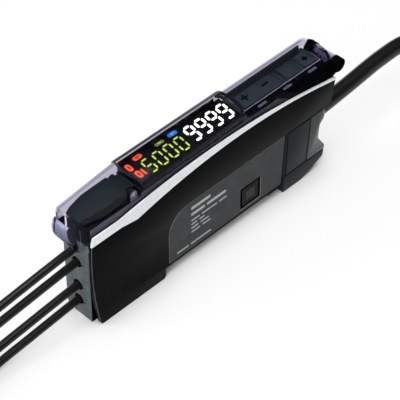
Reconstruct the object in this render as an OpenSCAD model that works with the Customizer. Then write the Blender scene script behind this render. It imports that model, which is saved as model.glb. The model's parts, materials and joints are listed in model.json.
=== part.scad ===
// Fibre optic sensor amplifier: a slim case for a 35 mm rail, four optical fibres in front,
// a cable behind, and a hinged smoked cover over the display, the keys and the lock lever.
// Lengths in mm. X runs from the fibres to the cable, Y across the width, Z up from the foot.

/* [Case] */
// Width of the case
case_w = 10; // [9.5:0.5:12]
// Length of the front foot, from the fibre face to the rail slot
foot_l = 20.7; // [18.7:0.1:23]
// Length of the rail slot
slot_l = 38; // [37:0.1:42]
// Height of the rail slot
slot_h = 3; // [2.7:0.1:3.3]
// Width of the rail that the slot takes
rail_w = 35; // [34:0.5:35.5]
// Length of the case behind the rail slot
tail_l = 17; // [16.2:0.1:19]
// Thickness of the moulded walls
wall = 1; // [0.9:0.05:1.1]
// Height of the seam under the upper band of the side
band_z = 18.5; // [18:0.25:19.5]
// Thickness of the silver trim
trim_t = 0.5; // [0.4:0.05:0.6]

/* [Fibre block] */
// Diameter of an optical fibre with its jacket
fibre_d = 1.9; // [1.5:0.1:2.1]
// Height of the lowest fibre
low_bore_z = 4.6; // [4.2:0.1:5]
// Distance between the two fibres of a pair
fibre_pitch = 4.6; // [4.2:0.1:5]
// Distance between the two pairs
pair_gap = 7.2; // [6.6:0.1:7.8]
// Length of the fibre block
block_l = 7.5; // [6.8:0.1:8.2]

/* [Top] */
// Height of the deck over the fibre block
deck_h = 7; // [6.7:0.1:7.6]
// Height of the display module
display_t = 2; // [1.8:0.1:2.1]
// Free height over the display
cover_air = 1.8; // [1.6:0.1:2.2]
// Thickness of the smoked cover
cover_t = 0.6; // [0.5:0.05:0.7]
// Length of the lock lever
lever_l = 15.3; // [14:0.1:16.5]
// Length of the plus and minus rocker
rocker_l = 12.4; // [11.2:0.1:13.6]
// Length of a small key
key_l = 3.6; // [3.2:0.1:4]
// Travel of a small key
key_travel = 0.4; // [0.3:0.05:0.45]

/* [Rail hook] */
// Height of the hook
hook_h = 5; // [4.6:0.1:5.4]
// Travel of the hook
hook_travel = 2; // [1.8:0.1:2.2]

/* [Cords] */
// Diameter of the cable
cable_d = 4; // [3.6:0.1:4.4]
// Height of the cable at the case
cable_z = 12.7; // [12:0.1:13.2]

/* [Hidden] */
$fn = 48;
gap = 0.3;
slide = 0.15;
pin_play = 0.05;
seam = 0.4;
// Length that reaches past every piece, for cuts
past = 60;
half_w = case_w / 2;
in_w = half_w - wall;
x_rear = foot_l + slot_l;
case_l = x_rear + tail_l;
bore_z = [
    low_bore_z,
    low_bore_z + fibre_pitch,
    low_bore_z + fibre_pitch + pair_gap,
    low_bore_z + 2 * fibre_pitch + pair_gap
];
fibre_y = 1;
block_rim = 1.65;
block_r = 2;
block_h = bore_z[3] + fibre_d / 2 + block_rim;
deck_z = block_h + deck_h;
base_z = block_h + 1.4;
side_z = deck_z - 2.8;
crown_z = deck_z - 0.6;
side_r = 185;
arc_fn = 720;
stripe_r = 138;
stripe_t = 1.5;
stripe_off = 9;
stripe_nose = 2.35;
nose_l = 8;
x_crown = foot_l + 15.3;
bow = 0.95;
bow_r = 90;
tail_cut = 1.2;
hook_top = hook_h + gap;
rail_t = 1.3;
lip_l = 1;
seam2_low = x_rear + 7.9;
seam2_high = x_rear + 8.85;
tail_x = x_rear + 14.3;
block_in_y = -half_w + 2;
clamp_lift = 0.8;
clamp_t = 1.6;
clamp_x = 3.5;
cell_l = 4;
cell_d = 2.2;
holder_w = 2.2;
holder_low = low_bore_z - 2;
holder_top = block_h - 0.6;
deck_x1 = case_l - 2.3;
deck_w = in_w - 0.3;
deck_t = 1.2;
deck_front_z = deck_z - 1.4;
cave_wall = 0.6;
cave_w = deck_w - cave_wall;
cave_x1 = deck_x1 - cave_wall;
flange_w = 0.25;
key_y0 = -1.6;
key_y1 = cave_w - flange_w - slide;
key_y = (key_y0 + key_y1) / 2;
key_proud = 0.5;
select_x1 = cave_x1 - flange_w - slide;
select_x0 = select_x1 - key_l;
key_gap = 2.2;
mode_x1 = select_x0 - key_gap;
mode_x0 = mode_x1 - key_l;
rocker_x1 = mode_x0 - key_gap;
rocker_x0 = rocker_x1 - rocker_l;
rocker_mid = (rocker_x0 + rocker_x1) / 2;
rocker_pin_z = deck_z - 2.2;
rocker_pin_d = 1.2;
rocker_hub = 1.1;
switch_off = 4.2;
flange_t = 0.5;
flange_z = deck_z - deck_t - 0.25 - flange_t;
plunger_z = flange_z - key_travel - 0.05;
switch_z = plunger_z - 0.4;
board_t = 0.8;
main_board_t = 1;
post_l = 0.8;
board_z = switch_z - 1;
lever_x0 = -1.1;
lever_x1 = lever_x0 + lever_l;
lever_pin_x = lever_x1 - 1.2;
lever_pin_z = deck_z + 0.2;
lever_pin_d = 1.2;
lever_w = deck_w - 0.4;
lever_tip_w = 2.2;
lever_taper = 5.2;
lever_neck = 2.3;
step_x = lever_x1 + 0.9;
display_x0 = step_x + gap;
display_x1 = rocker_x0 - 2.5;
crest_z = deck_z + display_t + cover_air + cover_t;
cover_w = half_w - 0.1;
cover_x0 = -2.4;
cover_x1 = case_l - 1.4;
cover_r = 2;
front_r = 2;
rear_r = 14;
brim_w = cover_w - cover_t - slide;
// Shape under the cover keeps this far inside the cover's outside
under_cover = cover_t + gap;
ledge_y = key_y1 + gap;
ledge_x1 = select_x1 - 1;
rim_y = cover_w - under_cover - 0.6;
hump_x0 = display_x0 - 1.8;
hump_x1 = display_x1 + 0.6;
hump_r = 13;
hump_round = 0.9;
step = 1.15;
front_slope = 6.4;
front_drop = 0.7;
lip_w = 2.4;
lip_out = 2.7;
lip_r = 10;
lip_round = 1.3;
lip_low = block_h + 1.6;
lip_top = block_h + 8.5;
rib_d = 0.5;
hinge_x = case_l + 1.2;
hinge_z = deck_z - 2.1;
hinge_d = 1.6;
ear_r = 1.8;
ear_y0 = 2.9;
ear_skin = 0.5;
ear_y1 = half_w - 0.1;
knuckle_r = 1.5;
knuckle_w = ear_y0 - gap - 0.1;
skirt_x1 = deck_x1 - 0.5;
neck_w = 1.2;
neck_x0 = x_rear + 1.6;
neck_l = 3;
neck_z = hook_top + wall + slide;
x_mid = (cover_x0 - lip_out + hinge_x + ear_r) / 2;
// Fibre hank and cable hank: middles along X, straight run, outer radius, half thickness
fibre_hank_x = -140;
fibre_run = 48;
fibre_hank_r = 17;
fibre_hank_w = 8;
cable_hank_x = 140;
cable_run = 40;
cable_hank_r = 18;
cable_hank_w = 12;
hank_lift = 1;
tie_t = 0.8;
tie_w = 5;
tie_off = 12;
head_d = 3.4;
head_l = 14;
head_off = 6;
lane_gap = 2;
fibre_lane = [-7, -3, 1, 5];
cable_lane = -10;
// Ways of the cords to their hanks: X, share of the turn aside, share of the start height, drop
fibre_way = [
    [-44, 0, 1, 0.6],
    [-52, 0, 1, 1.4],
    [-61, 0, 1, 2.4],
    [-72, 0.25, 0.8, 1.2],
    [-84, 0.5, 0.45, -0.6],
    [-95, 0.75, 0.2, -1.6],
    [-106, 1, 0.05, -2],
    [-116, 1, 0, -2]
];
cable_way = [
    [50, -0.03, 1, -0.6],
    [62, -0.08, 1, -1.1],
    [72, -0.06, 1, -0.6],
    [82, 0.15, 0.8, 0],
    [92, 0.45, 0.52, 0],
    [104, 0.8, 0.3, 0],
    [120, 1, 0, -3]
];

// Moves the drawing so that the middle of the length lies over the origin
module place() {
    translate([-x_mid, 0, 0]) children();
}

// Extrudes an X and Z outline across the width
module plate(y0, y1) {
    translate([0, y1, 0]) rotate([90, 0, 0]) linear_extrude(y1 - y0) children();
}

// Extrudes a Y and Z outline along the length
module along_x(x0, x1) {
    translate([x0, 0, 0]) rotate([90, 0, 90]) linear_extrude(x1 - x0) children();
}

// Box between two corners
module box(a, b) {
    translate(a) cube(b - a);
}

// Round bar along X
module bar_x(x0, x1, y, z, d) {
    translate([x0, y, z]) rotate([0, 90, 0]) cylinder(h = x1 - x0, d = d);
}

// Round bar along Y
module bar_y(y0, y1, x, z, d) {
    translate([x, y1, z]) rotate([90, 0, 0]) cylinder(h = y1 - y0, d = d);
}

// Area of the side under the crowned top edge, raised by a clearance
module under_crown(up) {
    translate([x_crown, crown_z - side_r]) circle(r = side_r + up, $fn = arc_fn);
    translate([-10, -10]) square([x_crown + 10, side_z + up + 10]);
}

// Whole side with its bowed front and its slanted rear end
module side_area() {
    intersection() {
        under_crown(0);
        translate([bow_r - bow, band_z]) circle(r = bow_r, $fn = arc_fn);
        polygon([
            [-3, 0],
            [case_l - tail_cut - 3, 0],
            [case_l - tail_cut, band_z],
            [case_l + 0.7, crown_z],
            [0.9, crown_z],
            [0, side_z],
            [-0.75, side_z - 2.4],
            [-3, side_z - 4]
        ]);
    }
}

// Side panel without the rail slot, the hook and the rear block
module panel_area() {
    difference() {
        side_area();
        translate([foot_l, -1]) square([slot_l + gap, slot_h + 1]);
        polygon([
            [x_rear, -1],
            [x_rear, hook_top],
            [seam2_low, hook_top],
            [seam2_high, band_z],
            [case_l + 3, band_z],
            [case_l + 3, -1]
        ]);
    }
}

// Silver stripe along the top of the side
module trim_area() {
    difference() {
        side_area();
        translate([x_crown + stripe_off, crown_z - stripe_t - stripe_r]) circle(r = stripe_r, $fn = arc_fn);
        polygon([
            [-5, 0],
            [-5, side_z - stripe_nose],
            [nose_l, side_z - stripe_nose],
            [nose_l + 5, side_z - stripe_nose - 0.85],
            [nose_l + 5, 0]
        ]);
    }
}

// Label field on the near side
module label_area(inset) {
    x0 = foot_l + 1.1 + inset;
    z1 = band_z - 0.1 - inset;
    intersection() {
        polygon([
            [x0, slot_h + 0.4 + inset],
            [x_rear - 0.4 - inset, slot_h + 0.4 + inset],
            [x_rear + 0.45 - inset, z1],
            [x0, z1]
        ]);
        union() {
            translate([x0 + 6, slot_h]) square([slot_l, band_z]);
            translate([x0, slot_h]) square([slot_l, z1 - slot_h - 6]);
            translate([x0 + 6, z1 - 6]) circle(r = 6);
        }
    }
}

// Square of the communication window, smaller by an inset
module window_area(inset) {
    translate([x_rear - 14 + inset, slot_h + 1.5 + inset]) square(6.4 - 2 * inset);
}

// Rear block of the case with its lug and its lip
module rear_area() {
    polygon([
        [seam2_low + seam, hook_top],
        [tail_x, hook_top],
        [tail_x, hook_top + 1.1],
        [tail_x - 2.4, hook_top + 4.8],
        [tail_x - 2.1, hook_top + 8.5],
        [tail_x - 0.1, hook_top + 9.2],
        [tail_x + 0.3, hook_top + 10.8],
        [tail_x - 0.2, band_z - seam],
        [seam2_high + seam, band_z - seam]
    ]);
}

// Slit between the front part of the side and the plate over the hook
module plate_seams() {
    polygon([
        [x_rear + 0.65, hook_top - 1],
        [x_rear + 0.65 + seam, hook_top - 1],
        [x_rear + 1.1 + seam, band_z],
        [x_rear + 1.1, band_z]
    ]);
    translate([x_rear + 1.1, band_z - seam]) square([seam2_high - x_rear, seam]);
}

module case() {
    color("#17191b") place() difference() {
        union() {
            plate(in_w, half_w) difference() {
                panel_area();
                translate([block_l - past, -past]) square([past, 2 * past]);
            }
            box([block_l, -in_w, 0], [foot_l, in_w, wall]);
            box([foot_l - wall, -in_w, 0], [foot_l, in_w, slot_h + wall]);
            box([foot_l - wall, -in_w, slot_h], [x_rear, in_w, slot_h + wall]);
            box([x_rear - wall, -in_w, slot_h], [x_rear, in_w, hook_top + wall]);
            box([x_rear - wall, -in_w, hook_top], [seam2_low + 1, in_w, hook_top + wall]);
            box([block_l, -in_w, 0], [block_l + wall, in_w, block_h]);
            box([foot_l - wall, -in_w + gap, 0.5], [foot_l + lip_l, in_w, slot_h - rail_t]);
            plate(-half_w, half_w) rear_area();
            box([seam2_high + seam, -in_w, band_z - seam - wall], [case_l - tail_cut, in_w, band_z - seam]);
            box([case_l - 2, -in_w, band_z - seam - wall], [case_l - tail_cut, in_w, base_z]);
            for (x = [block_l + 9, x_rear - 6]) {
                for (z = [slot_h + wall + 3, block_h - 4]) {
                    bar_y(in_w - post_l, in_w, x, z, 2.4);
                }
            }
        }
        plate(half_w - trim_t, half_w + 1) trim_area();
        plate(half_w - 0.6, half_w + 1) window_area(0);
        box(
            [block_l - 1, fibre_y - holder_w, holder_low],
            [block_l + wall + 1, fibre_y + holder_w, holder_top]
        );
        box(
            [neck_x0 - slide, -neck_w - slide, hook_top - 1],
            [neck_x0 + neck_l + hook_travel + gap, neck_w + slide, hook_top + wall + 1]
        );
        bar_x(seam2_low - 1, case_l, 0, cable_z, cable_d + 1.6);
    }
}

module side_cover() {
    color("#14161a") place() difference() {
        plate(-half_w, -in_w) panel_area();
        plate(-half_w - 1, -half_w + trim_t) trim_area();
        plate(-half_w - 1, -half_w + 0.2) label_area(0);
        plate(-half_w - 1, -half_w + 0.6) window_area(0);
        plate(-half_w - 1, -half_w + 0.4) plate_seams();
    }
}

module trim_near() {
    color("#dfe5e5") place() plate(-half_w, -half_w + trim_t) trim_area();
}

module trim_far() {
    color("#dfe5e5") place() difference() {
        plate(half_w - trim_t, half_w) trim_area();
        box([-5, 0, 0], [block_l, half_w + 1, crest_z]);
    }
}

module label_near() {
    color("#404243") place() difference() {
        plate(-half_w + 0.05, -half_w + 0.2) label_area(slide);
        plate(-half_w - 1, -half_w + 1) window_area(-slide);
    }
}

module window_near() {
    color("#2a2c30") place() plate(-half_w + 0.2, -half_w + 0.6) window_area(0.6);
}

module window_far() {
    color("#2a2c30") place() plate(half_w - 0.6, half_w - 0.2) window_area(0.6);
}

module front_block() {
    color("#55605f") place() difference() {
        along_x(0, block_l) difference() {
            translate([block_in_y, 0]) square([half_w - block_in_y, block_h]);
            difference() {
                translate([half_w - block_r, -1]) square(block_r + 1);
                translate([half_w - block_r, block_r]) circle(r = block_r);
            }
        }
        for (z = bore_z) {
            bar_x(-1, block_l + 1, fibre_y, z, fibre_d + 0.2);
            bar_x(-1, 0.3, fibre_y, z, fibre_d + 0.9);
            box([-1, fibre_y - 2.2, z - 0.15], [0.3, fibre_y, z + 0.15]);
        }
        box(
            [clamp_x - 0.1, fibre_y - 2.1, low_bore_z - 2.7],
            [clamp_x + clamp_t + 0.1, fibre_y + 2.1, block_h + 1]
        );
    }
}

module fibre_clamp() {
    color("#8b8f92") place() clamp_plate(clamp_x, clamp_x + clamp_t);
}

// Clamp plate with a long window round each fibre
module clamp_plate(x0, x1) {
    along_x(x0, x1) difference() {
        translate([fibre_y - 2, low_bore_z - 2.5]) square([4, block_h - low_bore_z + 1.3]);
        for (z = bore_z) {
            translate([fibre_y, z]) circle(d = fibre_d + 0.3);
            translate([fibre_y - fibre_d / 2 - slide, z - clamp_lift]) {
                square([fibre_d + 2 * slide, clamp_lift]);
            }
            translate([fibre_y, z - clamp_lift]) circle(d = fibre_d + 0.3);
        }
    }
}

module optic_holder() {
    color("#26282b") place() difference() {
        box([block_l, fibre_y - holder_w, holder_low], [block_l + cell_l, fibre_y + holder_w, holder_top]);
        for (z = bore_z) {
            bar_x(block_l + 0.4, block_l + cell_l + 1, fibre_y, z, cell_d);
            bar_x(block_l - 1, block_l + 1, fibre_y, z, 1);
        }
    }
}

// Optical cell: body with a collar behind the holder
module cell(z) {
    bar_x(block_l + 0.4, block_l + cell_l + 0.8, fibre_y, z, cell_d);
    bar_x(block_l + cell_l, block_l + cell_l + 0.8, fibre_y, z, cell_d + 0.6);
}

module emitters() {
    color("#c94a3f") place() {
        cell(bore_z[1]);
        cell(bore_z[3]);
    }
}

module receivers() {
    color("#3d4450") place() {
        cell(bore_z[0]);
        cell(bore_z[2]);
    }
}

module main_board() {
    color("#1f6b4a") place() difference() {
        box(
            [block_l + cell_l + 2, in_w - post_l - main_board_t, slot_h + wall + 2 * gap],
            [x_rear - wall - 0.5, in_w - post_l, holder_top]
        );
        for (x = [block_l + 9, x_rear - 6]) {
            bar_y(in_w - 3, in_w, x, block_h - 4, 1);
        }
    }
}

module deck() {
    color("#131417") place() difference() {
        union() {
            box([0.2, -in_w, block_h], [deck_x1, in_w, base_z]);
            box([0.2, -deck_w, block_h], [step_x, deck_w, deck_front_z]);
            box([step_x, -deck_w, block_h], [deck_x1, deck_w, deck_z]);
            box([step_x, -brim_w, crown_z + gap], [deck_x1, brim_w, deck_z]);
            far_ledge();
            for (s = [-1, 1]) {
                lever_ear(s * (lever_neck + 0.7));
                hinge_ear(s);
            }
        }
        box([lever_x1 - 6, -cave_w, block_h - 1], [cave_x1, cave_w, deck_front_z - deck_t]);
        box([display_x1, -cave_w, block_h - 1], [cave_x1, cave_w, deck_z - deck_t]);
        key_hole(mode_x0, mode_x1, slide);
        key_hole(select_x0, select_x1, slide);
        key_hole(rocker_x0, rocker_x1, gap);
        bar_y(-deck_w + 0.3, deck_w - 0.3, rocker_mid, rocker_pin_z, rocker_pin_d);
        bar_y(-past, past, lever_pin_x, lever_pin_z, lever_pin_d);
        bar_y(-ear_y1 + ear_skin, ear_y1 - ear_skin, hinge_x, hinge_z, hinge_d);
    }
}

// Ledge along the far side of the keys, shaped to the inside of the cover
module far_ledge() {
    x0 = rocker_x0 - gap;
    intersection() {
        box([x0, ledge_y, crown_z + gap], [ledge_x1, past, past]);
        along_x(x0, ledge_x1) dome_area(crest_z - step, under_cover);
    }
}

// Opening in the deck over one key
module key_hole(x0, x1, play) {
    box([x0 - play, key_y0 - slide, deck_z - deck_t - 1], [x1 + play, key_y1 + slide, deck_z + 1]);
}

// Ear beside the lock lever
module lever_ear(y) {
    box([lever_pin_x - 1, y - 0.5, deck_front_z - 1], [lever_pin_x + 1, y + 0.5, lever_pin_z]);
    bar_y(y - 0.5, y + 0.5, lever_pin_x, lever_pin_z, 2);
}

// Ear of the cover hinge with the cheek that carries it
module hinge_ear(s) {
    y0 = s > 0 ? ear_y0 : -ear_y1;
    y1 = s > 0 ? ear_y1 : -ear_y0;
    a0 = s > 0 ? ear_y0 : -deck_w;
    a1 = s > 0 ? deck_w : -ear_y0;
    bar_y(y0, y1, hinge_x, hinge_z, 2 * ear_r);
    plate(a0, a1) polygon([
        [deck_x1 - 1, base_z + 0.1],
        [hinge_x, base_z + 0.1],
        [hinge_x + 0.9 * ear_r, hinge_z - 0.4 * ear_r],
        [hinge_x, hinge_z + 0.8 * ear_r],
        [deck_x1 - 1, hinge_z + 0.8 * ear_r]
    ]);
}

// Display block with a raised rim along its far side, both shaped to the inside of the cover
module display_module() {
    rim_x1 = hump_x1 - 2 * hump_round - cover_t;
    color("#1a1c20") place() {
        intersection() {
            box([display_x0, -past, deck_z], [display_x1, past, deck_z + display_t]);
            along_x(display_x0, display_x1) dome_area(crest_z - step, under_cover);
        }
        intersection() {
            box([display_x0, rim_y, deck_z], [rim_x1, past, past]);
            along_x(display_x0, rim_x1) dome_area(crest_z, under_cover);
        }
    }
}

module key_board() {
    color("#22724f") place() box([display_x1 + gap, -cave_w, board_z - board_t], [cave_x1, cave_w, board_z]);
}

// Push switch under a key
module tact(x) {
    box([x - 1.3, key_y - 1.3, board_z], [x + 1.3, key_y + 1.3, switch_z]);
    translate([x, key_y, switch_z]) cylinder(h = plunger_z - switch_z, d = 1.4);
}

module tact_switches() {
    color("#b9bcc0") place() {
        tact(rocker_mid - switch_off);
        tact(rocker_mid + switch_off);
        tact((mode_x0 + mode_x1) / 2);
        tact((select_x0 + select_x1) / 2);
    }
}

// Plan of the lock lever, narrower towards its tip
module lever_plan() {
    polygon([
        [lever_x0, -lever_tip_w],
        [lever_x0 + lever_taper, -lever_w],
        [lever_pin_x, -lever_w],
        [lever_pin_x, lever_w],
        [lever_x0 + lever_taper, lever_w],
        [lever_x0, lever_tip_w]
    ]);
}

module lock_lever() {
    color("#1d1e22") place() difference() {
        union() {
            intersection() {
                plate(-lever_w, lever_w) polygon([
                    [lever_x0, lever_pin_z - 0.5],
                    [lever_x0 + 0.6, lever_pin_z - 0.9],
                    [lever_pin_x - 1.6, lever_pin_z - 0.9],
                    [lever_pin_x - 1.6, lever_pin_z + 1.5],
                    [lever_x0 + 1.2, lever_pin_z + 1.1],
                    [lever_x0, lever_pin_z + 0.4]
                ]);
                linear_extrude(past) lever_plan();
            }
            plate(-lever_neck, lever_neck) {
                polygon([
                    [lever_pin_x - 2, lever_pin_z - 0.9],
                    [lever_pin_x, lever_pin_z - 1],
                    [lever_pin_x + 1, lever_pin_z + 0.3],
                    [lever_x1, lever_pin_z + 1.1],
                    [lever_x1, lever_pin_z + 1.5],
                    [lever_pin_x - 2, lever_pin_z + 1.5]
                ]);
                translate([lever_pin_x, lever_pin_z]) circle(r = 1.1);
            }
        }
        bar_y(-past, past, lever_pin_x, lever_pin_z, lever_pin_d + 2 * pin_play);
    }
}

module lever_pin() {
    w = lever_neck + 1.2;
    color("#b8bcc0") place() bar_y(-w, w, lever_pin_x, lever_pin_z, lever_pin_d);
}

module rocker() {
    color("#2c2f34") place() difference() {
        union() {
            box([rocker_x0, key_y0, deck_z - 0.7], [rocker_x1, key_y1, deck_z + key_proud]);
            box([rocker_mid - rocker_hub, key_y0, rocker_pin_z], [rocker_mid + rocker_hub, key_y1, deck_z]);
            bar_y(key_y0, key_y1, rocker_mid, rocker_pin_z, 2 * rocker_hub);
            for (s = [-1, 1]) {
                translate([rocker_mid + s * switch_off, key_y, plunger_z + 0.45]) {
                    cylinder(h = deck_z - plunger_z - 1, d = 1.6);
                }
            }
        }
        bar_y(-past, past, rocker_mid, rocker_pin_z, rocker_pin_d + 2 * pin_play);
    }
}

module rocker_pin() {
    color("#b8bcc0") place() bar_y(-deck_w + 0.3, deck_w - 0.3, rocker_mid, rocker_pin_z, rocker_pin_d);
}

// Small key: cap through the deck and a flange under it
module key(x0, x1) {
    box([x0, key_y0, flange_z], [x1, key_y1, deck_z + key_proud]);
    box(
        [x0 - flange_w, key_y0 - flange_w, flange_z],
        [x1 + flange_w, key_y1 + flange_w, flange_z + flange_t]
    );
}

module mode_button() {
    color("#2c2f34") place() key(mode_x0, mode_x1);
}

module select_button() {
    color("#2c2f34") place() key(select_x0, select_x1);
}

// Cross outline of the cover, smaller by an inset
module dome_area(top, inset) {
    w = cover_w - inset;
    r = cover_r - inset;
    z = top - inset;
    translate([-w, 0]) square([2 * w, z - r]);
    translate([-w + r, 0]) square([2 * w - 2 * r, z]);
    for (s = [-1, 1]) {
        translate([s * (w - r), z - r]) circle(r = r);
    }
}

// Plan of the display hump with its bowed ends
module hump_plan(inset) {
    x0 = hump_x0 + inset;
    x1 = hump_x1 - inset;
    translate([x0 + hump_round, -half_w]) square([x1 - x0 - 2 * hump_round, 2 * half_w]);
    translate([x0 + hump_r, 0]) circle(r = hump_r);
    translate([x1 - hump_r, 0]) circle(r = hump_r);
}

// Plan of the cover: round front corners and a bowed rear edge
module cover_plan(inset) {
    x0 = cover_x0 + inset;
    w = cover_w - inset;
    r = front_r - inset;
    translate([x0 + r, -w]) square([hump_x1 - x0 - r, 2 * w]);
    translate([x0, -w + r]) square([hump_x1 - x0, 2 * (w - r)]);
    for (s = [-1, 1]) {
        translate([x0 + r, s * (w - r)]) circle(r = r);
    }
    intersection() {
        translate([cover_x1 - rear_r, 0]) circle(r = rear_r - inset, $fn = arc_fn);
        translate([cover_x1 - rear_r, -w]) square([rear_r, 2 * w]);
    }
    translate([hump_x1 - 1, -w]) square([cover_x1 - rear_r / 2 - hump_x1, 2 * w]);
}

// The three stretches of the cover: sloped front, display hump, rear
module dome(inset) {
    intersection() {
        union() {
            translate([hump_x0, 0, crest_z - front_drop]) rotate([0, -front_slope, 0]) {
                along_x(cover_x0 - hump_x0 - front_r, 1 + inset) {
                    translate([0, -crest_z]) dome_area(crest_z, inset);
                }
            }
            intersection() {
                along_x(hump_x0 - 1 + inset, hump_x1 + 1 - inset) dome_area(crest_z, inset);
                linear_extrude(past) hump_plan(inset);
            }
            along_x(hump_x1 - hump_round - 3, cover_x1) dome_area(crest_z - step, inset);
        }
        linear_extrude(past) cover_plan(inset);
    }
}

// Upright grip ribs round the front corners of the cover
module grip_ribs() {
    for (s = [-1, 1]) {
        for (a = [110, 130, 150, 170]) {
            translate([
                cover_x0 + front_r + front_r * cos(a),
                s * (cover_w - front_r + front_r * sin(a)),
                lip_low
            ]) cylinder(h = lip_top - lip_low - 1, d = rib_d);
        }
    }
}

// Side outline of the cover over the panels and in front of the hinge
module cover_area() {
    difference() {
        translate([cover_x0, block_h + 0.6]) square([cover_x1 - cover_x0, crest_z]);
        difference() {
            under_crown(gap);
            polygon([
                [-10, -10],
                [-1.2, -10],
                [-1.2, side_z - 2.4],
                [-0.35, side_z + 2 * gap],
                [-10, side_z + 2 * gap]
            ]);
        }
        translate([skirt_x1, 0]) square([past, deck_z + gap]);
        translate([hinge_x, hinge_z]) circle(r = ear_r + 0.4);
    }
}

module cover() {
    color("#4a4656") place() difference() {
        union() {
            difference() {
                intersection() {
                    union() {
                        dome(0);
                        grip_ribs();
                    }
                    plate(-half_w, half_w) cover_area();
                }
                dome(cover_t);
            }
            hinge_web();
            bar_y(-knuckle_w, knuckle_w, hinge_x, hinge_z, 2 * knuckle_r);
            front_lip(0);
        }
        front_lip(cover_t);
        bar_y(-past, past, hinge_x, hinge_z, hinge_d + 2 * pin_play);
    }
}

// Slanted web from the rear wall of the cover to its hinge knuckle
module hinge_web() {
    plate(-knuckle_w, knuckle_w) polygon([
        [cover_x1 - cover_t, deck_z - gap],
        [cover_x1 - cover_t, crest_z - step - cover_r],
        [hinge_x, hinge_z + knuckle_r],
        [hinge_x - 1, hinge_z + 0.5]
    ]);
}

// Finger lip on the front wall of the cover; with an inset, its core, which opens to the inside
module front_lip(inset) {
    x0 = cover_x0 - lip_out + inset;
    z = lip_top - lip_round;
    r = lip_round - inset;
    plate(-lip_w + inset, lip_w - inset) difference() {
        intersection() {
            translate([x0 + lip_r - inset, z]) circle(r = lip_r - inset, $fn = arc_fn);
            translate([x0, lip_low + inset]) square([lip_out + cover_t / 2, z + r - lip_low - inset]);
        }
        difference() {
            translate([x0 - r, z]) square([2 * r, 2 * r]);
            translate([x0 + r, z]) circle(r = r);
        }
    }
}

module hinge_pin() {
    w = ear_y1 - ear_skin - 0.1;
    color("#b8bcc0") place() bar_y(-w, w, hinge_x, hinge_z, hinge_d);
}

module rail_hook() {
    nose_x = foot_l + rail_w - 0.4 * lip_l;
    color("#1a1c1f") place() {
        plate(-half_w, half_w) polygon([
            [x_rear + gap, 0],
            [x_rear + 6.3, 0],
            [x_rear + 8.8, 0.7],
            [tail_x - 0.3, 3],
            [tail_x, hook_h],
            [x_rear + gap, hook_h]
        ]);
        box([nose_x, -in_w + gap, 0.5], [x_rear + wall + gap, in_w - gap, slot_h - rail_t]);
        box([neck_x0, -neck_w, hook_h], [neck_x0 + neck_l, neck_w, neck_z]);
        box([neck_x0, -neck_w - 0.9, neck_z], [neck_x0 + neck_l, neck_w + 0.9, neck_z + 1]);
    }
}

module hook_spring() {
    x0 = neck_x0 + neck_l;
    legs = 5;
    pitch = (seam2_low + seam - x0) / legs;
    color("#c3c7ca") place() translate([0, 0, neck_z + 0.1]) linear_extrude(0.8) intersection() {
        union() {
            for (i = [0:legs - 1]) {
                s = i % 2 == 0 ? 1 : -1;
                translate([x0 + i * pitch, -s * 1.5]) rotate(atan2(s * 3, pitch)) {
                    translate([0, -0.12]) square([norm([3, pitch]), 0.24]);
                }
            }
        }
        translate([x0, -2]) square([seam2_low + seam - x0, 4]);
    }
}

module cable_gland() {
    color("#1b1a1a") place() difference() {
        union() {
            bar_x(seam2_low - 0.6, tail_x - 0.6, 0, cable_z, cable_d + 1.6);
            bar_x(seam2_low - 0.6, seam2_low + 0.2, 0, cable_z, cable_d + 3);
        }
        bar_x(seam2_low - 2, case_l, 0, cable_z, cable_d + 0.1);
    }
}

// Ring of points round one point of a cord
function ring(p, t, r, n) =
    let (u = cross(t, [0, 0, 1]) / norm(cross(t, [0, 0, 1])), v = cross(u, t) / norm(t))
    [for (k = [0:n - 1]) p + r * (cos(360 * k / n) * u + sin(360 * k / n) * v)];

// Cord swept along a list of points
module cord(path, d, n) {
    m = len(path);
    rings = [for (i = [0:m - 1]) ring(path[i], path[min(i + 1, m - 1)] - path[max(i - 1, 0)], d / 2, n)];
    sides = [for (i = [0:m - 2]) for (k = [0:n - 1])
        [i * n + k, i * n + (k + 1) % n, (i + 1) * n + (k + 1) % n, (i + 1) * n + k]];
    polyhedron(
        points = [for (a = rings) each a],
        faces = concat([[for (k = [n - 1:-1:0]) k]], sides, [[for (k = [0:n - 1]) (m - 1) * n + k]])
    );
}

// Points of a way from a start point: each has its X, its share of the turn aside and its height
function way_points(way, y0, y1, z) = [for (w = way) [w[0], y0 + w[1] * (y1 - y0), w[2] * z - w[3]]];

// One fibre from the optic holder to the foot of its hank
module fibre(i) {
    x0 = block_l - x_mid;
    z = bore_z[i];
    start = [[x0, fibre_y, z], [x0 - block_l, fibre_y, z]];
    color("#1d1918") cord(concat(start, way_points(fibre_way, fibre_y, fibre_lane[i], z)), fibre_d, 8);
}

module fibre_1() {
    fibre(0);
}

module fibre_2() {
    fibre(1);
}

module fibre_3() {
    fibre(2);
}

module fibre_4() {
    fibre(3);
}

module cable() {
    x0 = seam2_low - 0.6 - x_mid;
    start = [[x0, 0, cable_z], [x0 + 9, 0, cable_z]];
    color("#1d1918") cord(concat(start, way_points(cable_way, 0, cable_lane, cable_z)), cable_d, 8);
}

// Outline of a hank that stands on its edge, round or with a loop's opening
module hank_area(x, run, r, inner) {
    for (s = [-1, 1]) {
        translate([x + s * run / 2, r + hank_lift]) circle(r = inner);
    }
    translate([x - run / 2, r + hank_lift - inner]) square([run, 2 * inner]);
}

module hank(x, run, r, w, inner) {
    color("#1d1918") plate(-w, w) difference() {
        hank_area(x, run, r, r);
        hank_area(x, run, r, inner);
    }
}

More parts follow.
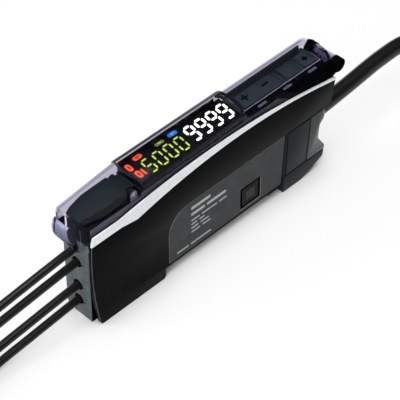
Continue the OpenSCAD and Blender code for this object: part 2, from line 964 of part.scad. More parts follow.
// Tie round the straight run of a hank
module tie(x, r, w) {
    color("#2b2b2b") along_x(x - tie_w / 2, x + tie_w / 2) difference() {
        translate([-w - tie_t, hank_lift - tie_t]) square([2 * (w + tie_t), 2 * (r + tie_t)]);
        translate([-w, hank_lift]) square([2 * w, 2 * r]);
    }
}

module fibre_hank() {
    hank(fibre_hank_x, fibre_run, fibre_hank_r, fibre_hank_w, 5);
}

module cable_hank() {
    hank(cable_hank_x, cable_run, cable_hank_r, cable_hank_w, 10);
}

module fibre_tie() {
    tie(fibre_hank_x - tie_off, fibre_hank_r, fibre_hank_w);
}

module cable_tie() {
    tie(cable_hank_x + tie_off, cable_hank_r, cable_hank_w);
}

// Threaded sensor head on top of the fibre hank, beside the lane of its fibre
module head(i) {
    x0 = fibre_hank_x + head_off;
    y = fibre_lane[i] + lane_gap;
    z = hank_lift + 2 * fibre_hank_r + 0.1 + head_d / 2;
    color("#c9ccce") {
        bar_x(x0, x0 + head_l, y, z, head_d);
        bar_x(x0 + head_l, x0 + head_l + 1.5, y, z, head_d - 1.2);
    }
}

module head_1() {
    head(0);
}

module head_2() {
    head(1);
}

module head_3() {
    head(2);
}

module head_4() {
    head(3);
}

case();
side_cover();
trim_near();
trim_far();
label_near();
window_near();
window_far();
front_block();
fibre_clamp();
optic_holder();
emitters();
receivers();
main_board();
deck();
display_module();
key_board();
tact_switches();
lock_lever();
lever_pin();
rocker();
rocker_pin();
mode_button();
select_button();
cover();
hinge_pin();
rail_hook();
hook_spring();
cable_gland();
cable();
cable_hank();
cable_tie();
fibre_1();
fibre_2();
fibre_3();
fibre_4();
fibre_hank();
fibre_tie();
head_1();
head_2();
head_3();
head_4();
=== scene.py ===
import json
import math

import bpy
from mathutils import Matrix, Vector


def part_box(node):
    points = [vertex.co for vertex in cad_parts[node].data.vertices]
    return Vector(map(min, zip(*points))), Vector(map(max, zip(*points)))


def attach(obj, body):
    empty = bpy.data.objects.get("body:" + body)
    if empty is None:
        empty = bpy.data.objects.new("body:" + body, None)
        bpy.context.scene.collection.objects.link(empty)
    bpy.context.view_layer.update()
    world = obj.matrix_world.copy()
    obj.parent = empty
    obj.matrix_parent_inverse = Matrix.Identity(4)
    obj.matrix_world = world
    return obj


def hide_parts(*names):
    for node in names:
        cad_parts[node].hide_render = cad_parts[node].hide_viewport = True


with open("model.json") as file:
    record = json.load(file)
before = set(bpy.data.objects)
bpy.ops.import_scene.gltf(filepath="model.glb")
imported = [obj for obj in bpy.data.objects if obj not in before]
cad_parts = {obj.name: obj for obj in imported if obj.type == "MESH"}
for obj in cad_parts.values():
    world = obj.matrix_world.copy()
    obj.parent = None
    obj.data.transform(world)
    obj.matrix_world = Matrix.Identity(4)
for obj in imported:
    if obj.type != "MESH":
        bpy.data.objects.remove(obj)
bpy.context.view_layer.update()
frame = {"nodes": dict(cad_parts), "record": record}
nodes = frame["nodes"]
bodies = frame["record"]["behaviour"]["bodies"]
body_of_node = {node: body for body, members in bodies.items() for node in members}

MM = 0.001
WHITE = (1, 1, 1, 1)

# Camera: a long lens, 45 degrees round from the front and 45 degrees up
CAMERA_PLACE_MM = (-214.18, -213.70, 312.59)
CAMERA_TILT_DEG = 44.98
CAMERA_TURN_DEG = -45.02
CAMERA_LENS_MM = 169.8
CAMERA_SENSOR_MM = 36.0
CAMERA_REACH_M = 20.0

# Surfaces: detail of their noise, strength of their relief, and where the noise changes from shade to shade
GRAIN_DETAIL = 3.0
RELIEF_STRENGTH = 0.6
SHADE_STOPS = (0.35, 0.65)

# Cords: diameters, real lengths, and the places at which they leave the case
FIBRE_D_MM = 1.9
FIBRE_Y_MM = 1.0
FIBRE_Z_MM = (4.6, 9.2, 16.4, 21.0)
FIBRE_START_X_MM = -29.3
FIBRE_FACE_X_MM = -36.8
FIBRE_LANE_Y_MM = (-7.0, -3.0, 1.0, 5.0)
CABLE_D_MM = 4.0
CABLE_Z_MM = 12.7
CABLE_START_X_MM = 29.2
CABLE_STRAIGHT_MM = 9
CABLE_LANE_Y_MM = -10.0
CORD_ROUND = 3

# Ways of the cords to their hanks: X in mm, share of the turn aside, share of the start height, drop in mm
FIBRE_WAY = (
    (-44, 0, 1, 0.6),
    (-52, 0, 1, 1.4),
    (-61, 0, 1, 2.4),
    (-72, 0.25, 0.8, 1.2),
    (-84, 0.5, 0.45, -0.6),
    (-95, 0.75, 0.2, -1.6),
    (-106, 1, 0.05, -2),
    (-116, 1, 0, -2),
)
CABLE_WAY = (
    (50, -0.03, 1, -0.6),
    (62, -0.08, 1, -1.1),
    (72, -0.06, 1, -0.6),
    (82, 0.15, 0.8, 0),
    (92, 0.45, 0.52, 0),
    (104, 0.8, 0.3, 0),
    (120, 1, 0, -3),
)
WAY_SPAN_POINTS = 4

# Hanks: middle along X and height of the middle, straight run, lane radii, disc spacing, part of the last run
FIBRE_HANK_X_MM = -140.0
FIBRE_HANK_Z_MM = 18.0
FIBRE_RUN_MM = 48.0
FIBRE_LANES_MM = (16, 14, 12, 10, 8, 6)
FIBRE_DISC_MM = 2.0
FIBRE_LAST_RUN = 0.3
CABLE_HANK_X_MM = 140.0
CABLE_HANK_Z_MM = 19.0
CABLE_RUN_MM = 40.0
CABLE_LANES_MM = (16, 12)
CABLE_DISC_MM = 4.0
CABLE_DISCS = 6
CABLE_LAST_RUN = 0.5
RUN_SPANS = 3
FOLD_SPANS = 9

# Rise of a fibre from its hank to its head: share of the way along X and share of the height
HEAD_RISE = ((0.35, 0.2), (0.7, 0.8), (1.0, 1.0))

# Sensor heads: plain collar, thread, stretch without thread, and a thinner tip
HEAD_COLLAR_MM = 2.5
HEAD_PLAIN_MM = 3.0
HEAD_TIP_MM = 1.5
HEAD_TIP_STEP_MM = 0.6
HEAD_SIDES = 24
HEAD_SMOOTH_DEG = 30
HEAD_MERGE_MM = 0.002
THREAD_PITCH_MM = 0.5
THREAD_DEPTH_MM = 0.22

# Leads at the cable's end: diameter, points and their spacing, and how they spread from the cable's middle
LEAD_D_MM = 1.1
LEAD_POINTS = 6
LEAD_STEP_MM = 4.0
LEAD_INSIDE_MM = 1.5
LEAD_ASIDE_MM = 0.7
LEAD_FAN_MM = 0.28
LEAD_LIFT_MM = 0.02
# Insulation of the leads, coloured PVC: even colours with a soft sheen
LEAD_COLOURS = ("#6b4326", "#23518f", "#161616", "#c9671f")

# Display: stroke positions of a seven-segment digit as shares of its half width and half height, and its turn
SEGMENTS = {
    "a": (0, 1, 0), "g": (0, 0, 0), "d": (0, -1, 0),
    "f": (-1, 0.5, 90), "b": (1, 0.5, 90), "e": (-1, -0.5, 90), "c": (1, -0.5, 90),
}
STROKES = {"0": "abcdef", "5": "afgcd", "9": "abcdfg"}
STROKE_TIP = 0.42
DIGIT_LEAN = 0.1
DISPLAY_TOP_MM = 32.6
MARK_T_MM = 0.06
MARK_STEPS = 3

# Signal lamps: rounding of the field as a share of its width, and the bar on it as shares of the field
LAMP_ROUND = 0.46
LAMP_STEPS = 5
LAMP_BAR_LENGTH = 0.42
LAMP_BAR_WIDTH = 0.3
LAMP_BAR_TIP = 0.1

# Key marks: bar of the plus and minus signs, their places on the rocker, and the diamond on the rear key
SIGN_BAR_MM = (2.1, 0.55, 0.05)
SIGN_X_MM = 3.2
SIGN_Y_MM = 0.3
DIAMOND_MM = (1.7, 1.7, 0.84)

# Legend strip on the deck beside the keys: its reach past them, its fine line and its plain fields
DECK_TOP_MM = 30.6
STRIP_REACH_MM = (0.4, 0.8)
STRIP_Y_MM = -3.0
STRIP_W_MM = 2.2
STRIP_ROUND_MM = 0.3
STRIP_LINE_Y_MM = -1.84
STRIP_LINE_W_MM = 0.13
STRIP_LINE_TIP_MM = 0.04
STRIP_FIELD_MM = (2.6, 0.7, 0.1)
STRIP_FIELD_Y_MM = -3.1
STRIP_FIELD_FIRST_MM = 5.0
STRIP_FIELD_PITCH_MM = 8.2
STRIP_FIELDS = 3

# Label print, rows from the top: height of the row, its first X, height of a bar, lengths of its bars, in mm
LABEL_ROWS = (
    (16.2, -8.0, 0.8, (6.0,)),
    (14.3, -8.0, 0.8, (4.2, 6.0)),
    (12.4, -8.0, 0.4, (2.6, 4.8, 2.4)),
    (11.2, -8.0, 0.4, (1.8, 1.6)),
    (10.0, -8.0, 0.4, (2.2, 2.6)),
    (8.8, -8.0, 0.4, (2.8, 2.6)),
    (5.2, -12.5, 0.45, (3.6, 6.4)),
)
LABEL_WORD_GAP_MM = 0.7
LABEL_BAR_TIP_MM = 0.12

# Lens field of a side window: its share of the window, and its rounding
LENS_SHARE = 0.55
LENS_ROUND_MM = 0.2

# Mouldings: merging of doubles, what counts as flat, as an edge and as smooth, and steps of a wide rounding
MERGE_MM = 0.0005
FLAT_DEG = 0.2
EDGE_DEG = 40
SMOOTH_DEG = 32
CORNER_STEPS = 5

# Tests of faces and edges: a slack for places, and how far a normal leans that faces mostly or fully one way
SLACK_MM = 0.05
MOSTLY = 0.5
FULLY = 0.9

# Case and side cover: front foot, front rim with its painted highlight, plate over the hook, rear block and
# its lug
FOOT_X_MM = -10
FRONT_RIM_X_MM = -30
FRONT_RIM_LEAN = 0.35
HOOK_PLATE_X_MM = 22.9
REAR_BLOCK_X_MM = 30.1
HOOK_TOP_MM = 5.0
BAND_Z_MM = 18.2
LUG_X_MM = 33.5
LUG_Z_MM = 13.5
LUG_SIDE_Y_MM = 4.9

# Front block: how far behind its face the seats of the fibres lie
SEAT_DEPTH_MM = (0.03, 0.5)

# Deck: its flanks, its key frame, and where its hinge ears begin
DECK_FLANK_Y_MM = 3
KEY_FRAME_X_MM = 10.6
KEY_FRAME_Y_MM = -1.8
HINGE_X_MM = 36.6

# Raised stretch of the cover over the display: its reach, the foot of its rounding, and the far print and the
# painted highlight line on it
HUMP_X_MM = (-23.3, 9.8)
HUMP_LOW_MM = 33.0
HUMP_FAR_Y_MM = 2.5
LINE_LEAN = 0.1
FRAME_LEAN = 0.2

# Finger lip of the cover: where it begins, and how far its faces look inwards
LIP_X_MM = -39.0
LIP_FRONT_LEAN = 0.05
LIP_CHEEK_MM = 0.5

# Painted dark reflection on the near flank of the cover by the hinge: dark past the first slanted line, black
# past the second
COVER_FLANK_Y_MM = -4.8
FADE_X_MM = (22.4, 25.4)
FADE_Z_MM = 29.6
FADE_NORMAL = Vector((0.53, 0, 0.85))

# Floor: size, share of plain white, and the reach and start of the painted contact shadow close to the object
FLOOR_M = 6.0
FLOOR_WHITE = 0.7
FLOOR_PAINTED_SHADOW_MM = 6.0
FLOOR_PAINTED_SHADOW_FROM = 0.4

# Lights: place and size in metres, power in watts
WORLD_STRENGTH = 0.12
LIGHTS = (
    ("top_light", (-0.05, 0.0, 0.85), 0.7, 6.0),
    ("front_light", (-0.5, -0.35, 0.5), 0.5, 2.5),
    ("rim_light", (-0.6, 0.45, 0.45), 0.4, 3.0),
)


def linear(code):
    """An sRGB hex colour as linear red, green, blue and alpha."""
    values = [int(code[i:i + 2], 16) / 255 for i in (1, 3, 5)]
    curve = [v / 12.92 if v <= 0.04045 else ((v + 0.055) / 1.055) ** 2.4 for v in values]
    return (*curve, 1.0)


def add_node(tree, kind, settings=None, **links):
    """Adds a shader node with its socket values, and links named sockets to other nodes' outputs."""
    node = tree.nodes.new(kind)
    for key, value in (settings or {}).items():
        if key in node.inputs:
            node.inputs[key].default_value = value
        else:
            setattr(node, key, value)
    for key, source in links.items():
        tree.links.new(source, node.inputs[key.replace("_", " ")])
    return node


def new_material(name, colour, **settings):
    """A material on one Principled shader, with constants set on its own sockets."""
    material = bpy.data.materials.new(name)
    material.use_nodes = True
    shader = material.node_tree.nodes["Principled BSDF"]
    shader.inputs["Base Color"].default_value = linear(colour)
    for key, value in settings.items():
        shader.inputs[key.replace("_", " ")].default_value = value
    return material


def add_surface(material, grit_mm, depth_mm=0.0, shades=None, rough=None):
    """Surface of a material from one noise of the grit's size: relief, two shades and two roughnesses."""
    tree = material.node_tree
    shader = tree.nodes["Principled BSDF"]
    place = add_node(tree, "ShaderNodeTexCoord")
    grain = {"Scale": 1 / (grit_mm * MM), "Detail": GRAIN_DETAIL}
    noise = add_node(tree, "ShaderNodeTexNoise", grain, Vector=place.outputs["Object"])
    if depth_mm:
        height = {"Strength": RELIEF_STRENGTH, "Distance": depth_mm * MM}
        relief = add_node(tree, "ShaderNodeBump", height, Height=noise.outputs["Fac"])
        tree.links.new(relief.outputs["Normal"], shader.inputs["Normal"])
    if shades:
        ramp = add_node(tree, "ShaderNodeValToRGB", Fac=noise.outputs["Fac"])
        for stop, colour, position in zip(ramp.color_ramp.elements, shades, SHADE_STOPS):
            stop.color = linear(colour)
            stop.position = position
        tree.links.new(ramp.outputs["Color"], shader.inputs["Base Color"])
    if rough:
        reach = {"To Min": rough[0], "To Max": rough[1]}
        gloss = add_node(tree, "ShaderNodeMapRange", reach, Value=noise.outputs["Fac"])
        tree.links.new(gloss.outputs["Result"], shader.inputs["Roughness"])
    return material


# Smoked polycarbonate with a coat that cuts reflections, so its IOR is set low: clear, lavender where it is
# thin and dark violet where it is thick
SMOKE_PER_M = 1000.0
smoked_cover = new_material(
    "smoked_polycarbonate", "#ffffff", Roughness=0.0, IOR=1.04, Transmission_Weight=1.0
)
add_surface(smoked_cover, grit_mm=4.0, shades=("#ffffff", "#fafafc"))
smoke = add_node(
    smoked_cover.node_tree, "ShaderNodeVolumeAbsorption", {"Color": linear("#ccc8d8"), "Density": SMOKE_PER_M}
)
smoked_cover.node_tree.links.new(
    smoke.outputs["Volume"], smoked_cover.node_tree.nodes["Material Output"].inputs["Volume"]
)
# Dark grey print on the cover round the display: satin, hides the edges; the same grey in the cheeks of the
# lip is painted shade
frame_print_and_lip_shade = new_material("grey_print_and_painted_shade", "#26262a", Roughness=0.3, Specular_IOR_Level=0.3)
add_surface(frame_print_and_lip_shade, grit_mm=1.0, shades=("#232327", "#2a2a2f"))
# Painted highlight inside that print: a lighter grey line along the far edge of the display's frame
frame_edge_highlight = new_material("painted_frame_highlight", "#6a686f", Roughness=0.4)
add_surface(frame_edge_highlight, grit_mm=0.6, shades=("#636168", "#737178"))
# Painted dark reflection on the cover's flank towards the hinge: matt, fades into the black behind it
flank_dark_reflection = new_material("painted_dark_reflection", "#17151a", Roughness=0.6, Specular_IOR_Level=0.0)
add_surface(flank_dark_reflection, grit_mm=1.0, shades=("#141217", "#1a181e"))
# Painted sheen on the inside of the cover's finger lip: pale grey, so that the lip shows a silver sheen
lip_painted_sheen = new_material("painted_lip_sheen", "#8b92a3", Roughness=0.3, Specular_IOR_Level=0.9)
add_surface(lip_painted_sheen, grit_mm=0.8, depth_mm=0.004, shades=("#838a9b", "#949bac"))
# Black ABS from a polished mould: deep black with a faint orange peel
gloss_black = new_material("gloss_black_abs", "#0a0b0d", Roughness=0.3, Specular_IOR_Level=0.02)
add_surface(gloss_black, grit_mm=1.2, depth_mm=0.004, shades=("#08090a", "#0d0e10"))
# Black ABS from a fine-eroded mould: satin, drawn with a coarser grit than its 0.1 mm so that it shows
satin_black = new_material("satin_black_abs", "#111214", Roughness=0.5, Specular_IOR_Level=0.08)
add_surface(satin_black, grit_mm=0.5, depth_mm=0.005, shades=("#0f1012", "#131517"))
# Painted reflection on the deck's flanks: a matt violet grey that stands in for the cover's reflection; the
# smoked cover in front of it turns it into a dark violet grey
deck_painted_reflection = new_material("painted_skirt_reflection", "#6a6672", Roughness=0.6, Specular_IOR_Level=0.1)
add_surface(deck_painted_reflection, grit_mm=0.8, shades=("#66626e", "#6f6b77"))
# Dark grey ABS of the plate over the hook and of the hook: satin, a shade lighter than the side
grey_abs = new_material("dark_grey_abs", "#212427", Roughness=0.35, Specular_IOR_Level=0.06)
add_surface(grey_abs, grit_mm=0.5, depth_mm=0.004, shades=("#1e2124", "#24272b"))
# Grey ABS of the rear block: polished, so that its round edges catch the light
grey_gloss = new_material("polished_grey_abs", "#303337", Roughness=0.12, Specular_IOR_Level=0.3)
add_surface(grey_gloss, grit_mm=1.0, depth_mm=0.002, shades=("#2d3034", "#34373b"))
# Printed polyester label film: flat dark grey with a soft cloudiness
label_film = new_material("label_polyester", "#404243", Roughness=0.55, Specular_IOR_Level=0.1)
add_surface(label_film, grit_mm=2.0, shades=("#3c3e3f", "#444647"))
# Painted highlight on the cut edge of that film: a pale line round the label
label_edge_highlight = new_material("painted_label_edge_highlight", "#a3a6a6", Roughness=0.5)
add_surface(label_edge_highlight, grit_mm=0.6, shades=("#9b9e9e", "#abaeae"))
# White label ink, screen printed: matt and a little uneven
label_ink = new_material("white_ink", "#b0b3b4", Roughness=0.6)
add_surface(label_ink, grit_mm=0.4, shades=("#a6a9aa", "#babdbe"))
# Silver lacquer on the trim: bright, even, with fine metal flakes
silver_trim = new_material("silver_lacquer", "#e6ebec", Roughness=0.3, Metallic=0.2)
add_surface(silver_trim, grit_mm=0.4, shades=("#e0e6e8", "#eef2f3"))
# Glass-filled PBT: grey-green, dry, with a fine grain
grey_block = new_material("grey_pbt", "#55605f", Roughness=0.6, Specular_IOR_Level=0.15)
add_surface(grey_block, grit_mm=0.6, depth_mm=0.015, shades=("#515b5c", "#606a6b"))
# Infrared window: polished and nearly black
dark_window = new_material("infrared_window", "#08090a", Roughness=0.15, Specular_IOR_Level=0.05)
add_surface(dark_window, grit_mm=2.0, rough=(0.1, 0.2))
# Lens field in its middle: the same plastic, less deep
lens_field = new_material("infrared_lens", "#202224", Roughness=0.2, Specular_IOR_Level=0.1)
add_surface(lens_field, grit_mm=1.0, rough=(0.15, 0.25))
# Silicone keys: dark grey-green and matt
key_rubber = new_material("silicone_rubber", "#222a2e", Roughness=0.6, Specular_IOR_Level=0.12)
add_surface(key_rubber, grit_mm=0.6, depth_mm=0.01, shades=("#1f272b", "#262f33"))
# Key frame of the deck: dark ABS with a green cast, satin
key_frame = new_material("dark_green_abs", "#1f2729", Roughness=0.5, Specular_IOR_Level=0.12)
add_surface(key_frame, grit_mm=0.5, depth_mm=0.005, shades=("#1d2527", "#23292c"))
# Black ink of the key marks and the legend strip, no gloss; the same black is painted shade in the fibre
# seats and on the front block's near side, painted dark reflection on the cover's flank, and dead black on
# the hinge ears
black_ink_and_painted_shade = new_material("black_ink_and_painted_shade", "#07080a", Roughness=0.4, Specular_IOR_Level=0.0)
add_surface(black_ink_and_painted_shade, grit_mm=0.5, shades=("#050607", "#0a0b0d"))
# Grey ink of the strip's fine line and of the bar on the mode lamp: pale and matt
grey_ink = new_material("grey_ink", "#9a9dab", Roughness=0.5)
add_surface(grey_ink, grit_mm=0.4, shades=("#8d90a0", "#a6a9b6"))
# Violet ink of the strip's fields: faint on the black
violet_ink = new_material("violet_ink", "#45435e", Roughness=0.5)
add_surface(violet_ink, grit_mm=0.4, shades=("#3d3b55", "#4d4b67"))
# Lock lever, moulded nylon: dark with a green cast
lever_nylon = new_material("moulded_nylon", "#10181a", Roughness=0.4, Specular_IOR_Level=0.15)
add_surface(lever_nylon, grit_mm=2.5, depth_mm=0.004, shades=("#0e1618", "#141c1e"))
# Display filter, black acrylic: glossy and nearly even
display_glass = new_material("black_acrylic", "#0d0e11", Roughness=0.12, Specular_IOR_Level=0.2)
add_surface(display_glass, grit_mm=3.0, rough=(0.08, 0.16))
# Drawn and ground steel of the pins, the spring, the switches and the clamp: bright, with fine marks
bright_steel = new_material("drawn_steel", "#c3c7ca", Roughness=0.25, Metallic=1.0)
add_surface(bright_steel, grit_mm=0.5, depth_mm=0.003, rough=(0.2, 0.35))
# Glass-epoxy board with solder mask: green, half gloss
board_mask = new_material("solder_mask", "#1f6b4a", Roughness=0.35)
add_surface(board_mask, grit_mm=1.0, shades=("#1c6244", "#237551"))
# Cord jackets: extruded black PVC, soft sheen
black_pvc = new_material("black_pvc", "#121011", Roughness=0.35, Specular_IOR_Level=0.3)
add_surface(black_pvc, grit_mm=0.8, depth_mm=0.006, shades=("#0f0d0e", "#161314"))
# Sensor heads, nickel plated brass: bright, with a slightly uneven gloss
nickel_plate = new_material("nickel_plated_brass", "#c9ccce", Roughness=0.2, Metallic=1.0)
add_surface(nickel_plate, grit_mm=0.8, rough=(0.15, 0.3))
# Ties, moulded nylon strap: dark grey and satin
nylon_strap = new_material("nylon_strap", "#2b2b2b", Roughness=0.5)
add_surface(nylon_strap, grit_mm=0.6, depth_mm=0.01, shades=("#272727", "#303030"))
# Optical cells, cast epoxy: glossy, red for the emitters and dark for the receivers
emitter_resin = new_material("red_epoxy", "#c94a3f", Roughness=0.1)
add_surface(emitter_resin, grit_mm=0.8, rough=(0.06, 0.14))
receiver_resin = new_material("dark_epoxy", "#3d4450", Roughness=0.1)
add_surface(receiver_resin, grit_mm=0.8, rough=(0.06, 0.14))


def lit(name, colour, strength):
    """A lit field of the display: coloured resin with a light behind it, which glows evenly."""
    field = new_material(
        name, colour, Roughness=0.4, Emission_Color=linear(colour), Emission_Strength=strength
    )
    return add_surface(field, grit_mm=0.5, rough=(0.3, 0.5))


white_light = lit("white_segment", "#fffdee", 1.0)
green_light = lit("green_segment", "#a4bd3c", 0.42)
orange_light = lit("orange_segment", "#e8482a", 0.5)
blue_light = lit("blue_segment", "#1b62ae", 0.4)
dim_light = lit("dim_green_segment", "#5d6a26", 0.25)
# Brown ink on the lamps: matt, dark against the lit field
lamp_ink = new_material("brown_ink", "#3a0f0c", Roughness=0.5)
add_surface(lamp_ink, grit_mm=0.3, shades=("#330d0a", "#42120e"))


# Camera

def make_camera():
    data = bpy.data.cameras.new("camera")
    data.lens = CAMERA_LENS_MM
    data.sensor_width = CAMERA_SENSOR_MM
    data.clip_end = CAMERA_REACH_M
    camera = bpy.data.objects.new("camera", data)
    bpy.context.scene.collection.objects.link(camera)
    camera.location = Vector(CAMERA_PLACE_MM) * MM
    camera.rotation_euler = (math.radians(CAMERA_TILT_DEG), 0.0, math.radians(CAMERA_TURN_DEG))
    bpy.context.scene.camera = camera


make_camera()


# Modelling steps that many pieces share

def select_only(*pieces):
    bpy.ops.object.select_all(action="DESELECT")
    for piece in pieces:
        piece.select_set(True)
    bpy.context.view_layer.objects.active = pieces[0]


def edit_edges(piece, wanted):
    """Opens a piece in edit mode with only the wanted edges selected."""
    select_only(piece)
    mesh = piece.data
    for part in (*mesh.vertices, *mesh.polygons):
        part.select = False
    for edge in mesh.edges:
        edge.select = wanted(mesh, edge)
    bpy.context.tool_settings.mesh_select_mode = (False, True, False)
    bpy.ops.object.mode_set(mode="EDIT")


def upright(mesh, edge):
    a, b = (mesh.vertices[i].co for i in edge.vertices)
    return abs(a.z - b.z) > abs(a.x - b.x) + abs(a.y - b.y)


def settle(piece, body, material):
    """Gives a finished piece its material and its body."""
    piece.data.materials.clear()
    piece.data.materials.append(material)
    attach(piece, body)
    return piece


def dressed(node, material, edge_mm, steps=2, corners=None, corner_mm=0.0):
    """A copy of a solid with its doubles merged and its edges rounded, shown in the solid's place.

    The edges that corners picks, by its two ends in mm, get the wider corner rounding first."""
    piece = bpy.data.objects.new(node + "_body", nodes[node].data.copy())
    bpy.context.scene.collection.objects.link(piece)
    select_only(piece)
    bpy.ops.object.mode_set(mode="EDIT")
    bpy.ops.mesh.select_all(action="SELECT")
    bpy.ops.mesh.remove_doubles(threshold=MERGE_MM * MM)
    bpy.ops.mesh.dissolve_limited(angle_limit=math.radians(FLAT_DEG))
    bpy.ops.object.mode_set(mode="OBJECT")
    if corners:
        edit_edges(piece, lambda mesh, edge: corners(*(mesh.vertices[i].co / MM for i in edge.vertices)))
        bpy.ops.mesh.bevel(offset=corner_mm * MM, segments=CORNER_STEPS, affect="EDGES")
        bpy.ops.object.mode_set(mode="OBJECT")
    rounding = piece.modifiers.new("rounding", "BEVEL")
    rounding.width = edge_mm * MM
    rounding.segments = steps
    rounding.limit_method = "ANGLE"
    rounding.angle_limit = math.radians(EDGE_DEG)
    rounding.harden_normals = False
    bpy.ops.object.modifier_apply(modifier="rounding")
    bpy.ops.object.shade_smooth_by_angle(angle=math.radians(SMOOTH_DEG))
    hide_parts(node)
    return settle(piece, body_of_node[node], material)


def paint_faces(piece, material, chosen):
    """Gives a second material to the faces whose middle, in mm, and normal are chosen."""
    piece.data.materials.append(material)
    for face in piece.data.polygons:
        if chosen(face.center / MM, face.normal):
            face.material_index = len(piece.data.materials) - 1


def split_faces(piece, chosen, place_mm, normal):
    """Cuts the chosen faces of a piece along a plane, so that both sides can be painted apart."""
    select_only(piece)
    bpy.context.tool_settings.mesh_select_mode = (False, False, True)
    bpy.ops.object.mode_set(mode="EDIT")
    bpy.ops.mesh.select_all(action="DESELECT")
    bpy.ops.object.mode_set(mode="OBJECT")
    for face in piece.data.polygons:
        face.select = chosen(face.center / MM, face.normal)
    bpy.ops.object.mode_set(mode="EDIT")
    bpy.ops.mesh.bisect(plane_co=Vector(place_mm) * MM, plane_no=normal)
    bpy.ops.object.mode_set(mode="OBJECT")


def make_bar(length, width, tip, steps=1):
    """A flat mark along X, lying on Z 0, with its corners cut or rounded by the tip, all in mm."""
    bpy.ops.object.select_all(action="DESELECT")
    bpy.ops.mesh.primitive_cube_add(size=1, location=(0, 0, 0))
    bar = bpy.context.object
    bpy.ops.object.mode_set(mode="EDIT")
    bpy.ops.transform.resize(value=(length * MM, width * MM, MARK_T_MM * MM))
    bpy.ops.object.mode_set(mode="OBJECT")
    edit_edges(bar, upright)
    bpy.ops.mesh.bevel(offset=tip * MM, segments=steps, affect="EDGES")
    bpy.ops.object.mode_set(mode="OBJECT")
    bar.data.transform(Matrix.Translation((0, 0, MARK_T_MM * MM / 2)))
    return bar


def moved_copy(piece, matrix):
    """A copy of a piece with a mesh of its own, moved by a matrix."""
    copy = bpy.data.objects.new(piece.name + "_copy", piece.data.copy())
    bpy.context.scene.collection.objects.link(copy)
    copy.data.transform(matrix)
    return copy


def at(x, y, z, turn_deg=0.0):
    """Matrix of a place in mm with a turn about Z."""
    return Matrix.Translation(Vector((x, y, z)) * MM) @ Matrix.Rotation(math.radians(turn_deg), 4, "Z")


def joined(name, pieces):
    select_only(*pieces)
    if len(pieces) > 1:
        bpy.ops.object.join()
    pieces[0].name = name
    return pieces[0]


def remove(*pieces):
    for piece in pieces:
        bpy.data.objects.remove(piece)


def set_mark(name, bar, place, body, material):
    """Moves a flat mark to its place and settles it as a piece of its own."""
    bar.data.transform(place)
    bar.name = name
    settle(bar, body, material)


# Cords

def smooth(points):
    """A smooth line through the points, with some points added in each span."""
    ends = [points[0] * 2 - points[1], *points, points[-1] * 2 - points[-2]]
    line = []
    for a, b, c, d in zip(ends, ends[1:], ends[2:], ends[3:]):
        for k in range(WAY_SPAN_POINTS):
            t = k / WAY_SPAN_POINTS
            bow = (2 * a - 5 * b + 4 * c - d) * t * t
            twist = (3 * b - a - 3 * c + d) * t ** 3
            line.append(0.5 * (2 * b + (c - a) * t + bow + twist))
    return [*line, points[-1]]


def way_points(way, y0, y1, z):
    return [Vector((x, y0 + aside * (y1 - y0), keep * z - drop)) for x, aside, keep, drop in way]


def hank_lap(hank, r0, r1, y0, y1, part=1.0):
    """One lap of a hank that stands on edge. The last fold leads from one lane and disc to the next.

    A lap that is cut short ends on the top run, at that part of the run."""
    x, z, run, turn = hank
    far, near = x + turn * run / 2, x - turn * run / 2
    line = [Vector((near + turn * run * k / RUN_SPANS, y0, z - r0)) for k in range(RUN_SPANS)]
    for k in range(FOLD_SPANS + 1):
        a = math.radians(-90 + 180 * k / FOLD_SPANS)
        line.append(Vector((far + turn * r0 * math.cos(a), y0, z + r0 * math.sin(a))))
    for k in range(1, RUN_SPANS + 1):
        line.append(Vector((far - turn * run * part * k / RUN_SPANS, y0, z + r0)))
    if part < 1.0:
        return line
    for k in range(1, FOLD_SPANS):
        share = k / FOLD_SPANS
        a = math.radians(90 + 180 * share)
        r = r0 + (r1 - r0) * share
        line.append(Vector((near + turn * r * math.cos(a), y0 + (y1 - y0) * share, z + r * math.sin(a))))
    return line


def make_cord(name, line, diameter_mm, material):
    """A round cord along a line of points in mm, as one open spline."""
    curve = bpy.data.curves.new(name, "CURVE")
    curve.dimensions = "3D"
    curve.bevel_depth = diameter_mm * MM / 2
    curve.bevel_resolution = CORD_ROUND
    curve.use_fill_caps = True
    spline = curve.splines.new("POLY")
    spline.points.add(len(line) - 1)
    for point, place in zip(spline.points, line):
        point.co = (*(place * MM), 1.0)
    spline.use_smooth = True
    cord = bpy.data.objects.new(name, curve)
    bpy.context.scene.collection.objects.link(cord)
    return settle(cord, "case", material)


def fibre_line(i):
    """Line of one fibre: out of its bore, along its way, in and out through its hank, up to its head."""
    z, lane = FIBRE_Z_MM[i], FIBRE_LANE_Y_MM[i]
    start = [Vector((FIBRE_START_X_MM, FIBRE_Y_MM, z)), Vector((FIBRE_FACE_X_MM, FIBRE_Y_MM, z))]
    line = smooth(start + way_points(FIBRE_WAY, FIBRE_Y_MM, lane, z))[:-1]
    hank = (FIBRE_HANK_X_MM, FIBRE_HANK_Z_MM, FIBRE_RUN_MM, -1)
    inward = list(FIBRE_LANES_MM)
    outward = inward[::-1]
    for r0, r1 in zip(inward, inward[1:]):
        line += hank_lap(hank, r0, r1, lane, lane)
    line += hank_lap(hank, inward[-1], inward[-1], lane, lane + FIBRE_DISC_MM)
    for r0, r1 in zip(outward, outward[1:]):
        line += hank_lap(hank, r0, r1, lane + FIBRE_DISC_MM, lane + FIBRE_DISC_MM)
    line += hank_lap(hank, outward[-1], outward[-1], lane + FIBRE_DISC_MM, lane, part=FIBRE_LAST_RUN)
    low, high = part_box("head_%d" % (i + 1))
    head = (low + high) / (2 * MM)
    head.x = low.x / MM
    rise = head - line[-1]
    for share, lift in HEAD_RISE:
        line.append(Vector((head.x - rise.x * (1 - share), head.y, head.z - rise.z * (1 - lift))))
    return line


